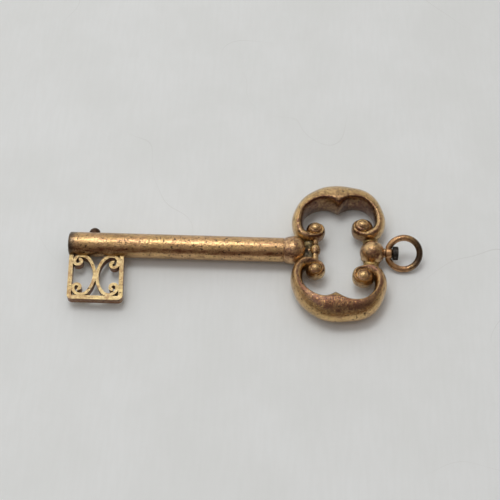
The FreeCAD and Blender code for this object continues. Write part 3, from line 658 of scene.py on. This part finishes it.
def pale_board(name):
    """Matt off-white board with a faint weave and hairline marks."""
    material, tree = new_material(name)
    place = add(tree, "ShaderNodeTexCoord").outputs["Object"]
    clouds = marks(tree, place, low=0.3, high=0.7, per_mm=0.05)
    weave = marks(tree, place, low=0.35, high=0.65, per_mm=1.2, detail=2.0, rough=0.5, stretch=ALONG_WEAVE)
    slow = grains(tree, place, per_mm=0.016, detail=2.0)
    line = add(tree, "ShaderNodeMath", {0: slow, 1: HAIRLINE_LEVEL, 2: HAIRLINE_WIDTH},
               operation="COMPARE")
    shown = marks(tree, place, low=0.5, high=0.62, per_mm=0.03, detail=1.0)
    hairlines = add(tree, "ShaderNodeMath", {0: line.outputs[0], 1: shown}, operation="MULTIPLY")
    paint = layer(tree, linear(BOARD_WHITE), linear(BOARD_CLOUD), clouds)
    paint = layer(tree, paint, linear(BOARD_WEAVE), weave, WEAVE_SHARE)
    rough_paint = grains(tree, place, per_mm=1.2, detail=3.0)
    connect(tree, tree.nodes["Principled BSDF"], {
        "Base Color": layer(tree, paint, linear(HAIRLINE), hairlines.outputs[0], HAIRLINE_SHARE),
        "Roughness": 0.6,
        "Normal": relief(tree, [{"height": rough_paint, "strength": 0.2, "depth": 0.1}]),
    })
    return material


half_table = TABLE_SPAN / 2
table_corners = [(-half_table, -half_table, 0), (half_table, -half_table, 0), (half_table, half_table, 0),
                 (-half_table, half_table, 0)]
table = smooth_piece("table_top", table_corners, [(0, 1, 2, 3)], pale_board("pale_board"))
print("a table of", TABLE_SPAN, "m")

# %% [markdown]
# The camera looks down at 58 degrees with a long lens, as the photograph does, so the key's
# thickness shows only at its front faces. A view from straight above would be simpler, but it
# would hide those faces.

# %% the camera
LOOK_AT = Vector((0.98, -0.21, 3.08)) * MM
CAMERA_DISTANCE = 235.6 * MM
CAMERA_HEIGHT_ANGLE = math.radians(58.0)
CAMERA_TURN = math.radians(1.97)
CAMERA_LENS = 79.2

level = math.cos(CAMERA_HEIGHT_ANGLE)
from_target = Vector((level * math.sin(CAMERA_TURN), -level * math.cos(CAMERA_TURN),
                      math.sin(CAMERA_HEIGHT_ANGLE)))
camera = bpy.data.objects.new("camera", bpy.data.cameras.new("camera"))
camera.data.lens = CAMERA_LENS
camera.location = LOOK_AT + from_target * CAMERA_DISTANCE
camera.rotation_euler = (-from_target).to_track_quat("-Z", "Y").to_euler()
bpy.context.scene.collection.objects.link(camera)
bpy.context.scene.camera = camera
print("camera at", [round(along / MM, 1) for along in camera.location], "mm")

# %% [markdown]
# The photograph's shank has one broad bright streak and a soft, short shadow, so its light is
# large and stands high behind the key. A sun lamp would give a hard shadow and a thin streak, so
# the lamp is a long panel, and a weaker panel stands to the front. Both have their places and
# sizes in metres.

# %% the lamps


def panel(name, place, width, depth, watts, colour):
    """A soft rectangular lamp that faces the key."""
    lamp = bpy.data.lights.new(name, "AREA")
    lamp.shape = "RECTANGLE"
    lamp.size = width
    lamp.size_y = depth
    lamp.energy = watts
    lamp.color = linear(colour)[:3]
    holder = bpy.data.objects.new(name, lamp)
    holder.location = place
    holder.rotation_euler = (LOOK_AT - Vector(place)).to_track_quat("-Z", "Y").to_euler()
    bpy.context.scene.collection.objects.link(holder)


panel("main_panel", (-0.1, 0.15, 0.58), width=0.32, depth=0.17, watts=0.86, colour="#fffffc")
panel("front_panel", (-0.26, -0.17, 0.51), width=0.12, depth=0.1, watts=0.14, colour="#f6f8ff")

print("two panels of", [round(lamp.energy, 2) for lamp in bpy.data.lights], "W")

# %% [markdown]
# Polished metal shows the room more than its own colour. Below the streak the shank has a dark
# band for the dim side of the room and the table's pale glow at its foot, and the bow is darker
# on the right. A picture of a real room could give that, but four colours do: the room is brown
# and dim low in front, paler overhead and behind, and darker to the right.

# %% the room
ROOM_STRENGTH = 1.42
ROOM_FRONT = "#4a2e20"
# Each side of the room has an axis, the levels where it starts and is full, a colour and a share.
ROOM_SIDES = (
    ("Z", -0.1, 1.15, "#a4a3a0", 1.0),
    ("Y", -0.25, 0.5, "#d2d1cf", 1.0),
    ("X", -0.5, 0.8, "#5a4a40", 0.55),
)

world = bpy.data.worlds.new("dim_room")
world.use_nodes = True
bpy.context.scene.world = world
room = world.node_tree
direction = add(room, "ShaderNodeTexCoord").outputs["Generated"]
way = add(room, "ShaderNodeSeparateXYZ", {0: direction}).outputs
room_colour = linear(ROOM_FRONT)
for axis, start, full, colour, share in ROOM_SIDES:
    side_mask = add(room, "ShaderNodeMapRange", {"Value": way[axis], "From Min": start, "From Max": full},
                    interpolation_type="SMOOTHSTEP").outputs[0]
    room_colour = layer(room, room_colour, linear(colour), side_mask, share)
connect(room, room.nodes["Background"], {"Color": room_colour, "Strength": ROOM_STRENGTH})

scene = bpy.context.scene
scene.view_settings.view_transform = "Standard"
print("a room with", len(ROOM_SIDES), "coloured sides at a strength of", ROOM_STRENGTH)
